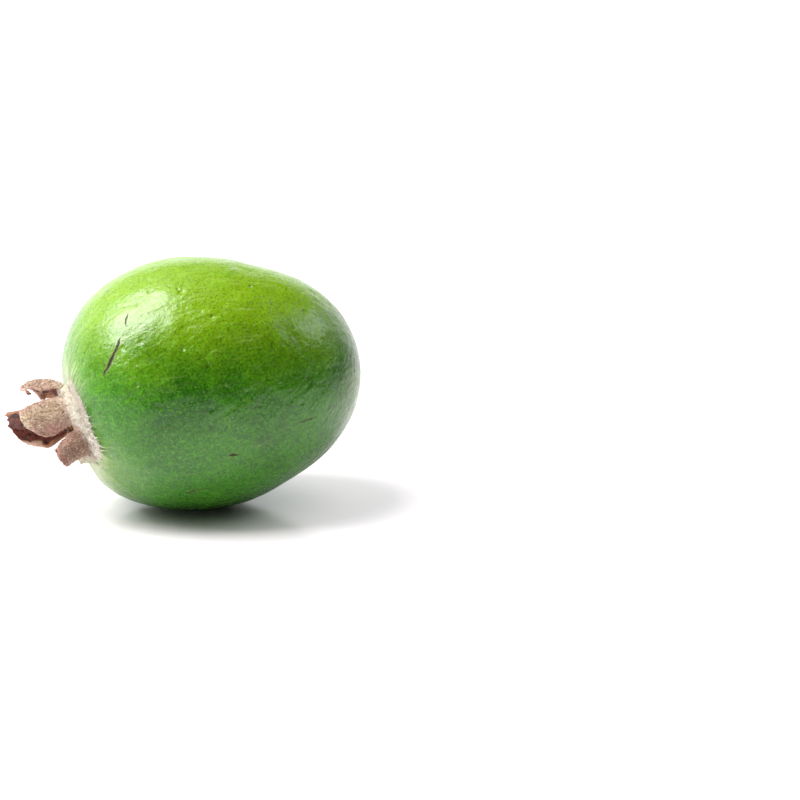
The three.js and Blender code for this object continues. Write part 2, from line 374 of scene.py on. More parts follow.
def makeSlitMark():
    # a narrow healed cut between two places on the skin, both in millimetres along the surface
    tree, ins, outs = newGroup("slitMark",
                               [("Place", "NodeSocketVector", None), ("Start", "NodeSocketVector", None),
                                ("End", "NodeSocketVector", None), ("Width", "NodeSocketFloat", 0.3)],
                               [("Mask", "NodeSocketFloat"), ("Halo", "NodeSocketFloat")])
    wobble = node(tree, "ShaderNodeTexNoise")
    tree.links.new(ins.outputs["Place"], wobble.inputs["Vector"])
    wobble.inputs["Scale"].default_value = 0.9
    shift = vectorCalc(tree, "SUBTRACT", wobble.outputs["Color"], (0.5, 0.5, 0.5))
    shift = vectorCalc(tree, "SCALE", shift, scale=0.9)
    place = vectorCalc(tree, "MULTIPLY", vectorCalc(tree, "ADD", ins.outputs["Place"], shift), (1, 1, 0))
    reach = vectorCalc(tree, "SUBTRACT", ins.outputs["End"], ins.outputs["Start"])
    offset = vectorCalc(tree, "SUBTRACT", place, ins.outputs["Start"])
    share = calc(tree, "DIVIDE", vectorCalc(tree, "DOT_PRODUCT", offset, reach),
                 vectorCalc(tree, "DOT_PRODUCT", reach, reach), clamp=True)
    apart = vectorCalc(tree, "DISTANCE", offset, vectorCalc(tree, "SCALE", reach, scale=share))
    # the mark is widest in its middle and runs out to points
    taper = times(tree, share, minus(tree, 1.0, share))
    width = times(tree, ins.outputs["Width"], plus(tree, times(tree, taper, 3.2), 0.2))
    ratio = calc(tree, "DIVIDE", apart, width)
    tree.links.new(remap(tree, ratio, 1.15, 0.55), outs.inputs["Mask"])
    tree.links.new(remap(tree, ratio, 3.2, 0.9), outs.inputs["Halo"])
    return tree


crownStreaks = makeCrownStreaks()
matFelt = makeFelt()
slitMark = makeSlitMark()


# fruit skin

skinLook = {
    "deep": colour(0.016, 0.105, 0.001),
    "green": colour(0.044, 0.215, 0.001),
    "lime": colour(0.290, 0.470, 0.001),
    "belly": colour(0.030, 0.175, 0.003),
    "stipple": colour(0.105, 0.410, 0.008),
    "felted": colour(0.560, 0.620, 0.380),
    "streak": colour(0.420, 0.560, 0.130),
    "slit": colour(0.020, 0.011, 0.002),
    "slitEdge": colour(0.240, 0.230, 0.090),
    "cork": colour(0.230, 0.170, 0.090),
}
skinMarks = [  # start and end as (round the fruit, along the fruit) in millimetres, width, darkness
    ((19.5, 19.0), (15.7, 21.0), 0.30, 0.95),
    ((17.2, 20.3), (12.0, 23.1), 0.35, 1.0),
    ((24.8, 16.7), (21.6, 17.8), 0.20, 0.8),
    ((-5.6, -12.6), (-6.0, -17.0), 0.20, 0.6),
    ((-8.8, 1.8), (-8.9, 0.1), 0.26, 0.85),
    ((-18.9, 9.9), (-17.5, 7.6), 0.42, 0.45),
    ((-17.9, 8.6), (-17.1, 5.4), 0.20, 0.4),
    ((2.4, 24.6), (1.7, 24.9), 0.30, 0.3),
]
skinSize = {"columns": 320, "rings": 196, "around": 155.0, "along": 59.2}


def makeSkinMaterial():
    look = skinLook
    made, tree, shader = newMaterial("waxySkin", Coat_Roughness=0.16, Specular_IOR_Level=0.42)
    place = objectPlace(tree)
    crown = crownPlace(tree)
    streaks = useGroup(tree, crownStreaks, Crown=crown, Lines=14.0)
    # broad patches, then small mottling, then stipple
    patches = grain(tree, place, 85.0, 3.0, 0.55, 0.3)
    mottle = grain(tree, place, 420.0, 4.0, 0.6, 0.4)
    stipple = grain(tree, place, 2400.0, 3.0, 0.8)
    tone = plus(tree, times(tree, patches, 0.6), times(tree, mottle, 0.4))
    base = blendColour(tree, remap(tree, tone, 0.36, 0.62), look["deep"], look["green"])
    lengthways, _, high = parts(tree, place)
    # lime towards the top: partly the skin's own lime colour, partly painted light on the lit top
    limeAndLitTop = remap(tree, plus(tree, high, times(tree, patches, 0.012)), 0.033, 0.053)
    base = tinted(tree, base, limeAndLitTop, 0.85, look["lime"])
    # painted shade: a darker green towards the bottom of the fruit
    shadedUnderside = remap(tree, plus(tree, high, times(tree, mottle, 0.006)), 0.024, 0.006)
    base = tinted(tree, base, shadedUnderside, 0.6, look["belly"])
    base = tinted(tree, base, remap(tree, stipple, 0.5, 0.65), 0.7, look["stipple"])
    base = tinted(tree, base, remap(tree, stipple, 0.5, 0.37), 0.75, look["deep"])
    # pale breathing dots and darker pits
    lenticels = dots(tree, place, 520.0, 0.13, 0.55)
    pits = dots(tree, place, 205.0, 0.12, 0.7, soft=0.1)
    dimples = dots(tree, place, 330.0, 0.3, 0.28, soft=0.1)
    base = tinted(tree, base, lenticels, 0.5, colour(0.42, 0.55, 0.25))
    base = tinted(tree, base, pits, 0.12, look["deep"])
    # pale felt lines that run out from the calyx over the shoulder
    near = remap(tree, streaks["Away"], 21.0, 8.5)
    lines = remap(tree, plus(tree, streaks["Streak"], times(tree, near, 0.30)), 0.67, 0.76)
    # they are thin on the front of the crown and thick above and below it
    crownFront, crownUp, _ = parts(tree, crown)
    frontward = calc(tree, "DIVIDE", crownFront, streaks["Away"])
    lines = times(tree, lines, remap(tree, frontward, 0.98, 0.74, 0.22, 1.0))
    crownSide = remap(tree, lengthways, -0.004, -0.014)
    felted = times(tree, times(tree, lines, near), crownSide)
    whiter = remap(tree, streaks["Away"], 16.0, 10.0)
    # painted reflection: a pale wash on the skin just below the crown
    paintedReflectionBelowCrown = times(tree, near, remap(tree, crownUp, -1.0, -11.0, 0.0, 0.3))
    base = blendColour(tree, paintedReflectionBelowCrown, base, look["streak"])
    base = blendColour(tree, times(tree, felted, 0.8), base,
                       blendColour(tree, whiter, look["streak"], look["felted"]))
    # healed cuts
    skinMap = node(tree, "ShaderNodeMapping", vector_type="POINT")
    tree.links.new(meshUv(tree, "skinMap"), skinMap.inputs["Vector"])
    skinMap.inputs["Scale"].default_value = (skinSize["around"], skinSize["along"], 0)
    skinMap.inputs["Location"].default_value = (-skinSize["around"] / 2, -skinSize["along"] / 2, 0)
    # pale lengthwise streaks, strongest on the top: partly faint streaks in the skin, partly painted
    # reflection
    lengthwise = vectorCalc(tree, "MULTIPLY", skinMap.outputs[0], (1.5, 0.13, 0))
    drawn = grain(tree, lengthwise, 1.0, 3.0, 0.6, 0.2)
    paleStreaksAndSheen = times(tree, remap(tree, drawn, 0.54, 0.74), calc(tree, "MULTIPLY_ADD", limeAndLitTop, 0.35, 0.12))
    base = blendColour(tree, paleStreaksAndSheen, base, look["streak"])
    cuts = None
    for start, end, width, dark in skinMarks:
        mark = useGroup(tree, slitMark, Place=skinMap.outputs[0], Start=(*start, 0), End=(*end, 0),
                        Width=width)
        base = blendColour(tree, times(tree, mark["Halo"], 0.35 * dark), base, look["slitEdge"])
        base = blendColour(tree, times(tree, mark["Mask"], dark), base, look["slit"])
        cut = times(tree, mark["Mask"], dark)
        cuts = cut if cuts is None else calc(tree, "MAXIMUM", cuts, cut)
    # corky scar where the stem came away
    stem = node(tree, "ShaderNodeAttribute", attribute_name="stemScar")
    base = blendColour(tree, stem.outputs["Fac"], base, look["cork"])
    tree.links.new(base, shader.inputs["Base Color"])
    rough = plus(tree, remap(tree, mottle, 0.3, 0.7, 0.21, 0.35), times(tree, felted, 0.4))
    rough = calc(tree, "MULTIPLY_ADD", cuts, 0.4, rough)
    tree.links.new(remap(tree, cuts, 0.0, 1.0, 0.22, 0.0), shader.inputs["Coat Weight"])
    tree.links.new(plus(tree, rough, times(tree, stem.outputs["Fac"], 0.4)), shader.inputs["Roughness"])
    # relief, all in millimetres
    slanted = node(tree, "ShaderNodeMapping", vector_type="TEXTURE")
    tree.links.new(place, slanted.inputs["Vector"])
    slanted.inputs["Rotation"].default_value = (0, math.radians(-34), 0)
    slanted.inputs["Scale"].default_value = (3.6, 1.3, 0.9)
    waves = grain(tree, slanted.outputs[0], 460.0, 2.0, 0.5, 0.6)
    peel = grain(tree, place, 1300.0, 3.0, 0.6)
    # wrinkles come in patches
    patchy = remap(tree, patches, 0.40, 0.62, 0.16, 0.36)
    relief = plus(tree, times(tree, waves, patchy), times(tree, peel, 0.13))
    relief = minus(tree, relief, times(tree, dimples, 0.24))
    relief = plus(tree, relief, times(tree, lenticels, 0.02))
    relief = minus(tree, relief, times(tree, pits, 0.3))
    relief = minus(tree, relief, times(tree, cuts, 0.45))
    relief = plus(tree, relief, times(tree, felted, 0.05))
    bumpFrom(tree, shader, relief, mm)
    return made


def makeSkin():
    form = fruitForm
    pickNothing()
    bpy.ops.mesh.primitive_uv_sphere_add(segments=skinSize["columns"], ring_count=skinSize["rings"],
                                         radius=1)
    skin = named("fruitSkin")
    points = meshPoints(skin)
    placed = []
    scars = []
    for x, y, z in points:
        ring = math.hypot(x, y)
        # the seam of the map lies on the far side
        side, top = (-x / ring, y / ring) if ring > 1e-6 else (0.0, 0.0)
        t = max(-1.0, min(1.0, z))
        lump = Vector((side, top, t))
        rise = sum(height * noise.noise(lump * fine + Vector(shift))
                   for height, fine, shift in form["lumps"])
        height, around, along = form["furrows"]
        furrow = noise.noise(Vector((side * around, top * around, t * along)))
        rise += height * furrow * smoothStep(t, *form["furrowsFrom"])
        spot = middle + bodyPoint(t, side, top, rise * mm * min(1.0, ring * 3))
        # seat under the calyx
        local = calyxInverse @ spot
        away = math.hypot(local.x, local.y) / mm
        if t > 0:
            for depth, inner, outer in (calyxForm["hollow"], calyxForm["seat"]):
                local.z -= depth * smoothStep(away, outer, inner)
            spot = calyxPlace @ local
        # the flat resting spot: points below the floor are lifted onto it
        if spot.z < 0.0:
            spot.z = 0.0
        placed.append(spot)
        radius = bodyRadius(t, top) / mm
        scarInner, scarOuter = form["stemScar"]
        scars.append(smoothStep(radius, scarOuter, scarInner) if t < 0 else 0.0)
    setMeshPoints(skin, placed)
    mark = skin.data.attributes.new("stemScar", "FLOAT", "POINT")
    mark.data.foreach_set("value", scars)
    # the map keeps its turn round the fruit and takes the true place along it
    layer = skin.data.uv_layers[0]
    layer.name = "skinMap"
    for loop in skin.data.loops:
        layer.data[loop.index].uv.y = (points[loop.vertex_index][2] + 1) / 2
    skin.data.materials.append(makeSkinMaterial())
    pick(skin)
    bpy.ops.object.mode_set(mode="EDIT")
    bpy.ops.mesh.select_all(action="SELECT")
    bpy.ops.mesh.normals_make_consistent(inside=False)
    bpy.ops.object.mode_set(mode="OBJECT")
    bpy.ops.object.shade_smooth()
    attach(skin, "root")
    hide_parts("fruit_body")
    return skin


skin = makeSkin()
print("skin made,", len(skin.data.polygons), "faces")


# felted collar round the crown

collarForm = {
    "segments": 224,
    # distance from the calyx axis and height along it, in millimetres, from the dish outwards
    "profile": [
        (0.6, -0.30), (3.6, -0.30), (4.9, -0.22), (5.5, 0.05), (5.9, 0.60), (6.15, 1.06), (6.45, 1.38),
        (6.85, 1.52), (7.25, 1.46), (7.60, 1.28), (7.95, 1.10), (8.40, 0.94), (9.0, 0.74), (9.7, 0.52),
        (10.5, 0.26), (11.3, -0.10), (12.2, -0.6), (12.9, -1.1), (12.9, -3.4), (0.6, -3.6),
    ],
    "between": 4,  # rings added between two profile points
    "liftAngle": 20,
    "liftSpread": 40,
    "lift": 1.0,
    "ragged": [(1.6, 5.0, 2), (1.5, 14.0, 0), (1.2, 36.0, 0)],  # depth in millimetres, fineness, shift
    "feltOver": 0.42,  # how far the felt stands over the skin, and how far its edge sinks in
    "feltUnder": -0.34,
    "footAway": 7.9,  # how far out the felt lies thick on the skin, and how much further on the front
    "footFront": 2.9,
}
feltLook = {
    "pale": colour(0.920, 0.890, 0.800),
    "deep": colour(0.500, 0.410, 0.290),
    "fleck": colour(0.150, 0.090, 0.050),
    "tan": colour(0.480, 0.330, 0.220),
    "dish": colour(0.060, 0.030, 0.016),
}


def curveThrough(points, between):
    # a smooth run through the given (distance, height) pairs
    run = []
    for k in range(len(points) - 1):
        p0, p1 = points[max(0, k - 1)], points[k]
        p2, p3 = points[k + 1], points[min(len(points) - 1, k + 2)]
        for step in range(between + 1):
            u = step / (between + 1)
            run.append(tuple(
                0.5 * (2 * b + (c - a) * u + (2 * a - 5 * b + 4 * c - d) * u * u
                       + (3 * b - a - 3 * c + d) * u ** 3)
                for a, b, c, d in zip(p0, p1, p2, p3)))
    return run + [points[-1]]


castFrom = 9 * mm  # rays towards the crown start this far out along the calyx


def footAway(turn):
    return collarForm["footAway"] + collarForm["footFront"] * max(0.0, turn.x) ** 2


def skinHeight(x, y):
    # how high the skin lies along the calyx axis at a place in the calyx frame
    start = calyxPlace @ Vector((x, y, castFrom))
    found, spot, _, _ = skin.ray_cast(start, -calyxAxis)
    return (calyxInverse @ spot).z if found else -4 * mm


def makeFeltMaterial():
    look = feltLook
    made, tree, shader = newMaterial("crownFelt", Roughness=0.95, Sheen_Weight=0.35, Sheen_Roughness=0.4,
                                     Specular_IOR_Level=0.2)
    crown = crownPlace(tree)
    streaks = useGroup(tree, crownStreaks, Crown=crown, Lines=15.0)
    felt = useGroup(tree, matFelt, Crown=crown, Pale=look["pale"], Deep=look["deep"], Fleck=look["fleck"])
    lines = remap(tree, streaks["Streak"], 0.38, 0.64)
    base = blendColour(tree, times(tree, lines, 0.55), felt["Colour"], colour(0.62, 0.62, 0.47))
    # tanned towards the rim, dark inside the dish
    wander = times(tree, streaks["Streak"], 1.6)
    rim = remap(tree, plus(tree, streaks["Away"], wander), 9.6, 8.0)
    base = tinted(tree, base, rim, 0.5, look["tan"])
    # above and below, the felt gives way to green skin at once
    frontward = calc(tree, "DIVIDE", parts(tree, crown)["X"], streaks["Away"])
    bare = times(tree, remap(tree, frontward, 0.6, 0.3), remap(tree, streaks["Away"], 7.5, 8.3))
    base = blendColour(tree, times(tree, bare, 0.8), base,
                       blendColour(tree, lines, colour(0.20, 0.38, 0.06), colour(0.56, 0.66, 0.38)))
    inside = remap(tree, plus(tree, streaks["Away"], times(tree, streaks["Streak"], 0.9)), 7.1, 6.4)
    base = blendColour(tree, inside, base, look["dish"])
    tree.links.new(base, shader.inputs["Base Color"])
    relief = plus(tree, times(tree, felt["Height"], 0.16), times(tree, streaks["Streak"], 0.22))
    bumpFrom(tree, shader, relief, mm)
    return made


def makeCollar():
    form = collarForm
    run = curveThrough(form["profile"], form["between"])
    pickNothing()
    bpy.ops.mesh.primitive_circle_add(vertices=form["segments"], radius=run[0][0] * mm, fill_type="NGON",
                                      location=(0, 0, run[0][1] * mm))
    collar = named("calyxCollar")
    bpy.ops.object.mode_set(mode="EDIT")
    bpy.ops.mesh.select_all(action="SELECT")
    for (wide, high), (nextWide, nextHigh) in zip(run, run[1:]):
        bpy.ops.mesh.extrude_region_move(
            TRANSFORM_OT_translate={"value": (0, 0, (nextHigh - high) * mm)})
        share = nextWide / wide
        bpy.ops.transform.resize(value=(share, share, 1), center_override=(0, 0, nextHigh * mm))
    bpy.ops.mesh.select_all(action="SELECT")
    bpy.ops.mesh.remove_doubles(threshold=1e-7)
    bpy.ops.mesh.normals_make_consistent(inside=False)
    bpy.ops.object.mode_set(mode="OBJECT")
    settle(collar)
    placed = []
    for x, y, z in meshPoints(collar):
        away, angle = math.hypot(x, y), math.atan2(y, x)
        turn = Vector((math.cos(angle), math.sin(angle), 0))
        wide = away / mm
        # the rim stands higher under the front sepal and is uneven all round
        near = math.exp(-(((math.degrees(angle) - form["liftAngle"]) / form["liftSpread"]) ** 2))
        outer = smoothStep(wide, 5.4, 6.6) * (1 - smoothStep(wide, 8.0, 10.6))
        if z > -2 * mm:
            uneven = noise.noise(turn * 2.1 + Vector((0, 0, 4))) * 0.35 + noise.noise(turn * 6.0) * 0.16
            z += (form["lift"] * near + uneven) * outer * mm
            ridge = noise.noise(Vector((turn.x * 11, turn.y * 11, wide * 0.25)))
            fine = noise.noise(Vector((turn.x * 26, turn.y * 26, wide * 0.6)))
            z += (0.22 * ridge + 0.10 * fine) * smoothStep(wide, 6.4, 7.6) * mm
            # over the shoulder it thins out and sinks into the skin along a ragged edge
            if wide > 7.8:
                foot = footAway(turn)
                ragged = sum(depth * noise.noise(turn * fineness + Vector((shift, 0, 0)))
                             for depth, fineness, shift in form["ragged"])
                thin = smoothStep(wide + ragged, foot - 2.4, foot + 0.8)
                over = mix(form["feltOver"], form["feltUnder"], thin)
                lie = skinHeight(x, y) + over * mm
                z = mix(z, lie + 0.05 * fine * mm, smoothStep(wide, 7.6, max(8.1, foot - 0.9)))
        placed.append(calyxPlace @ Vector((x, y, z)))
    setMeshPoints(collar, placed)
    collar.data.materials.append(makeFeltMaterial())
    pick(collar)
    bpy.ops.object.shade_smooth()
    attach(collar, "root")
    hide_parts("calyx_cup")
    return collar


collar = makeCollar()
print("collar made,", len(collar.data.polygons), "faces")


# sepals

sepalForms = {
    # the angle about the calyx goes from the front towards the top; flare, lean, twist and curl are
    # in degrees, sizes in millimetres, the rest are shares
    "sepalUpper": {
        "node": "sepal_upper", "angle": 103, "root": 8.1, "start": 0.2, "flare": 52, "lean": 2, "twist": 0,
        "length": 9.2, "width": 9.8, "thick": 0.62, "curl": 76, "curlTip": 0, "cupRoot": 4.6, "cup": 3.7,
        "marginCurl": 0.15, "rootShare": 0.9, "tipNarrow": 0.4, "tipRound": 0.12, "slant": -0.18,
        "tear": 0.03, "fold": 0, "seed": 11, "warm": 0.15, "olive": 0.0, "brown": 0.0, "endBand": 0.03,
    },
    "sepalFront": {
        "node": "sepal_front", "angle": 27, "root": 7.3, "start": 1.9, "flare": 13, "lean": -4, "twist": 4,
        "length": 9.5, "width": 9.8, "thick": 0.60, "curl": 38, "curlTip": 26, "cupRoot": 7.0, "cup": 5.6,
        "marginCurl": 0.5, "rootShare": 0.76, "tipNarrow": 0.02, "tipRound": 0.2, "slant": 0.13,
        "tear": 0.02, "fold": 0, "seed": 4, "warm": 0.75, "olive": 0.6, "brown": 0.1, "endBand": 0.0,
    },
    "sepalLower": {
        "node": "sepal_lower", "angle": -27, "root": 8.5, "start": -0.3, "flare": 24, "lean": 15,
        "twist": 0, "length": 7.4, "width": 8.2, "thick": 0.58, "curl": 4, "curlTip": 24, "cupRoot": 4.6,
        "cup": 2.3, "marginCurl": 0.0, "rootShare": 0.86, "tipNarrow": 0.12, "tipRound": 0.24,
        "slant": 0.12, "tear": 0.06, "fold": 0, "seed": 23, "warm": 0.3, "olive": 0.0, "brown": 0.8,
        "endBand": 0.22,
    },
    "sepalBack": {
        "node": "sepal_back", "angle": 174, "root": 6.9, "start": 0.9, "flare": 4, "lean": 12, "twist": -6,
        "length": 11.4, "width": 10.6, "thick": 0.50, "curl": 6, "curlTip": -16, "cupRoot": 6.0,
        "cup": 4.6, "marginCurl": 0.1, "rootShare": 0.48, "tipNarrow": 0.2, "tipRound": 0.14,
        "slant": -0.2, "tear": 0.11, "fold": 3.2, "seed": 37, "warm": 0.45, "olive": 0.1, "brown": 0.0,
        "endBand": 0.0,
    },
}
sepalLook = {
    "tan": colour(0.860, 0.660, 0.520),
    "brown": colour(0.260, 0.135, 0.085),
    "olive": colour(0.340, 0.290, 0.110),
    "pink": colour(0.560, 0.270, 0.220),
    "rim": colour(0.720, 0.390, 0.220),
    "inside": colour(0.260, 0.070, 0.045),
    "insideDeep": colour(0.040, 0.011, 0.008),
    "fleck": colour(0.120, 0.055, 0.035),
    "papery": colour(0.760, 0.540, 0.400),
    "felt": colour(0.860, 0.770, 0.650),
}
sepalGrid = {"across": 44, "along": 62}


def sepalPoints(form):
    # rows run along the sepal, columns across it; angles are summed so that curls may tighten
    nAcross, nAlong = sepalGrid["across"] + 1, sepalGrid["along"] + 1
    seed = Vector((form["seed"], 0, 0))
    placed = {}
    spine = Vector((0, 0, 0))
    bend = 0.0
    step = 1 / (nAlong - 1)
    for j in range(nAlong):
        b = j * step
        if j:
            tight = math.radians(form["curl"]) + math.radians(form["curlTip"]) * 4 * max(0, b - 0.7)
            bend += tight * step
            spine = spine + Vector((0, math.cos(bend), -math.sin(bend))) * form["length"] * step
        normal = Vector((0, math.sin(bend), math.cos(bend)))
        tangent = Vector((0, math.cos(bend), -math.sin(bend)))
        share = mix(form["rootShare"], 1.0, smoothStep(b, 0.0, 0.45))
        share *= 1 - form["tipNarrow"] * smoothStep(b, 0.55, 1.0) ** 1.4
        cup = mix(form["cupRoot"], form["cup"], smoothStep(b, 0.0, 0.55))
        edgeNoise = [noise.noise(seed + Vector((sign * 3.0, b * 5.5, 0))) for sign in (-1, 1)]
        half = form["width"] / 2 * share
        middleColumn = (nAcross - 1) // 2
        row = {middleColumn: (0.0, 0.0)}
        for sign in (-1, 1):
            x = z = turn = 0.0
            for i in range(1, middleColumn + 1):
                a = i / middleColumn
                stretch = 1 + 0.16 * edgeNoise[(sign + 1) // 2] * a * a
                size = half * stretch / middleColumn
                folded = form["fold"] if sign > 0 else 0.0
                fold = folded * smoothStep(a, 0.6, 0.9) * smoothStep(b, 0.35, 0.8)
                turn += size / cup * (1 + form["marginCurl"] * 3.0 * a ** 3 + fold)
                x += math.cos(turn) * size
                z -= math.sin(turn) * size
                row[middleColumn + sign * i] = (sign * x, z)
        twist = Matrix.Rotation(math.radians(form["twist"]) * b, 3, "Y")
        for i, (x, z) in row.items():
            a = i / middleColumn - 1
            wave = noise.noise(seed + Vector((a * 2.2, b * 3.0, 7))) * 0.30 * smoothStep(b, 0.05, 0.5)
            fine = noise.noise(seed + Vector((a * 7.5, b * 5.0, 2))) * 0.10
            # the end is rounded, slants to one side and is torn most on that side
            torn = noise.noise(seed + Vector((a * 4.5, 0, 9)))
            torn += 0.6 * noise.noise(seed + Vector((a * 13, 0, 3)))
            torn = form["tear"] * (torn + 0.2) * b ** 7 * mix(1.0, 0.25, smoothStep(a, -0.5, 0.2))
            back = form["tipRound"] * abs(a) ** 2.3 * b ** 3 - form["slant"] * a * b ** 3 + torn
            across = twist @ Vector((x, 0, z))
            spot = spine + Vector((across.x, 0, 0)) + normal * (across.z + wave + fine)
            spot -= tangent * back * form["length"]
            placed[(i, j)] = spot * mm
    return placed


def sepalStand(form):
    flare = math.radians(form["flare"])
    stand = Matrix((
        (0, math.sin(flare), math.cos(flare), form["root"] * mm),
        (1, 0, 0, 0),
        (0, math.cos(flare), -math.sin(flare), form["start"] * mm),
        (0, 0, 0, 1),
    ))
    lean = Matrix.Rotation(math.radians(form["lean"]), 4, "Z")
    around = Matrix.Rotation(math.radians(form["angle"]), 4, "Z")
    return calyxPlace @ around @ stand @ lean


def leafVeins(tree, across, along):
    # grain drawn out along the sepal
    stretched = vectorCalc(tree, "MULTIPLY", meshUv(tree, "leafMap"), (across, along, 0))
    return grain(tree, stretched, 1.0, 3.0, 0.6)


def makeSepalOutside(name, form):
    look = sepalLook
    made, tree, shader = newMaterial(name + "Outside", Roughness=0.92, Sheen_Weight=0.3,
                                     Sheen_Roughness=0.45, Specular_IOR_Level=0.25)
    crown = crownPlace(tree)
    leaf = parts(tree, meshUv(tree, "leafMap"))
    felt = useGroup(tree, matFelt, Crown=crown, Pale=look["tan"], Deep=look["brown"], Fleck=look["fleck"])
    # olive in the middle, pink and pale towards the margins, whitish felt at the root
    sideways = calc(tree, "ABSOLUTE", minus(tree, leaf[0], 0.5))
    wander = grain(tree, crown, 0.5, 3.0, 0.6)
    away = plus(tree, sideways, times(tree, minus(tree, wander, 0.5), 0.5))
    centre = times(tree, remap(tree, away, 0.36, 0.05), form["olive"])
    base = blendColour(tree, form["brown"], felt["Colour"], look["brown"])
    base = tinted(tree, base, centre, 0.62, look["olive"])
    flush = times(tree, remap(tree, away, 0.2, 0.46), form["warm"])
    base = blendColour(tree, flush, base, look["pink"])
    rootward = remap(tree, plus(tree, leaf[1], times(tree, wander, 0.22)), 0.34, 0.1)
    base = tinted(tree, base, rootward, 0.7, look["felt"])
    along = plus(tree, leaf[1], times(tree, minus(tree, wander, 0.5), 0.5))
    reach = form["endBand"]
    band = remap(tree, along, 0.97 - reach, 1.06 - reach)
    base = tinted(tree, base, band, 0.7 if reach > 0 else 0.0, look["pink"])
    end = remap(tree, along, 1.0 - reach * 0.4, 1.08 - reach * 0.4)
    base = tinted(tree, base, end, 0.7, look["felt"])
    tree.links.new(base, shader.inputs["Base Color"])
    veins = leafVeins(tree, 16, 3.0)
    relief = plus(tree, times(tree, felt["Height"], 0.20), times(tree, veins, 0.14))
    bumpFrom(tree, shader, relief, mm)
    return made


def makeSepalInside():
    look = sepalLook
    made, tree, shader = newMaterial("sepalInside", Coat_Weight=0.15, Coat_Roughness=0.3)
    crown = crownPlace(tree)
    tone = grain(tree, crown, 0.9, 4.0, 0.6, 0.5)
    base = blendColour(tree, remap(tree, tone, 0.34, 0.62), look["insideDeep"], look["inside"])
    leaf = parts(tree, meshUv(tree, "leafMap"))
    sideways = calc(tree, "ABSOLUTE", minus(tree, leaf[0], 0.5))
    edge = remap(tree, plus(tree, sideways, times(tree, tone, 0.24)), 0.46, 0.58)
    base = tinted(tree, base, edge, 0.8, look["rim"])
    # pale skin is left on one margin, towards the tip
    margin = remap(tree, plus(tree, leaf[0], times(tree, tone, 0.3)), 0.96, 1.0)
    patch = times(tree, margin, remap(
        tree, plus(tree, leaf[1], times(tree, tone, 0.3)), 0.64, 0.68))
    base = tinted(tree, base, patch, 0.85, look["papery"])
    tree.links.new(base, shader.inputs["Base Color"])
    tree.links.new(remap(tree, tone, 0.3, 0.7, 0.3, 0.6), shader.inputs["Roughness"])
    veins = leafVeins(tree, 22, 2.5)
    relief = plus(tree, times(tree, tone, 0.25), times(tree, veins, 0.16))
    bumpFrom(tree, shader, relief, mm)
    return made


def makeSepalRim():
    look = sepalLook
    made, tree, shader = newMaterial("sepalRim", Roughness=0.8, Specular_IOR_Level=0.3)
    crown = crownPlace(tree)
    tone = grain(tree, crown, 1.6, 3.0, 0.6)
    base = blendColour(tree, remap(tree, tone, 0.35, 0.62), look["pink"], look["rim"])
    base = blendColour(tree, remap(tree, grain(tree, crown, 0.45, 2.0), 0.5, 0.66), base, look["tan"])
    tree.links.new(base, shader.inputs["Base Color"])
    bumpFrom(tree, shader, tone, 0.15 * mm)
    return made


def makeSepal(name, form, inside, rim):
    pickNothing()
    bpy.ops.mesh.primitive_grid_add(x_subdivisions=sepalGrid["across"], y_subdivisions=sepalGrid["along"],
                                    size=2)
    sepal = named(name)
    sepal.data.uv_layers[0].name = "leafMap"
    stand = sepalStand(form)
    placed = sepalPoints(form)
    weights = sepal.vertex_groups.new(name="body")
    spots = []
    for index, (x, y, _) in enumerate(meshPoints(sepal)):
        i = round((x + 1) / 2 * sepalGrid["across"])
        j = round((y + 1) / 2 * sepalGrid["along"])
        spots.append(stand @ placed[(i, j)])
        heft = mix(1.0, 0.25, smoothStep(abs(x), 0.55, 1.0)) * mix(1.0, 0.35, smoothStep(y, 0.2, 1.0))
        weights.add([index], heft, "REPLACE")
    setMeshPoints(sepal, spots)
    for material in (makeSepalOutside(name, form), inside, rim):
        sepal.data.materials.append(material)
    applyModifier(sepal, "SOLIDIFY", thickness=form["thick"] * mm, offset=-0.4, vertex_group="body",
                  thickness_vertex_group=0.3, material_offset=1, material_offset_rim=2, use_rim=True)
    applyModifier(sepal, "SUBSURF", levels=1, render_levels=1)
    pick(sepal)
    bpy.ops.object.shade_smooth()
    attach(sepal, "root")
    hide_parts(form["node"])
    return sepal


sepalInside = makeSepalInside()
sepalRim = makeSepalRim()
sepals = [makeSepal(name, form, sepalInside, sepalRim) for name, form in sepalForms.items()]
print("sepals made,", sum(len(sepal.data.polygons) for sepal in sepals), "faces")


# dried style, filaments and scraps

def tubes(name, paths):
    # round strands of varying thickness joined in one mesh; a path is a list of (place, radius)
    sides = 7
    corners, faces = [], []
    for path in paths:
        first = len(corners)
        for k, (spot, radius) in enumerate(path):
            ahead = path[min(k + 1, len(path) - 1)][0] - path[max(k - 1, 0)][0]
            across = ahead.orthogonal().normalized()
            other = ahead.cross(across).normalized()
            for turn in range(sides):
                angle = 2 * math.pi * turn / sides
                corners.append(spot + (across * math.cos(angle) + other * math.sin(angle)) * radius)
        for k in range(len(path) - 1):
            for turn in range(sides):
                a, b = first + k * sides + turn, first + k * sides + (turn + 1) % sides
                faces.append((a, b, b + sides, a + sides))
        faces.append(tuple(first + turn for turn in reversed(range(sides))))
        last = first + (len(path) - 1) * sides
        faces.append(tuple(last + turn for turn in range(sides)))
    piece = pieceFrom(name, corners, faces)
    for face in piece.data.polygons:
        face.use_smooth = True
    return piece


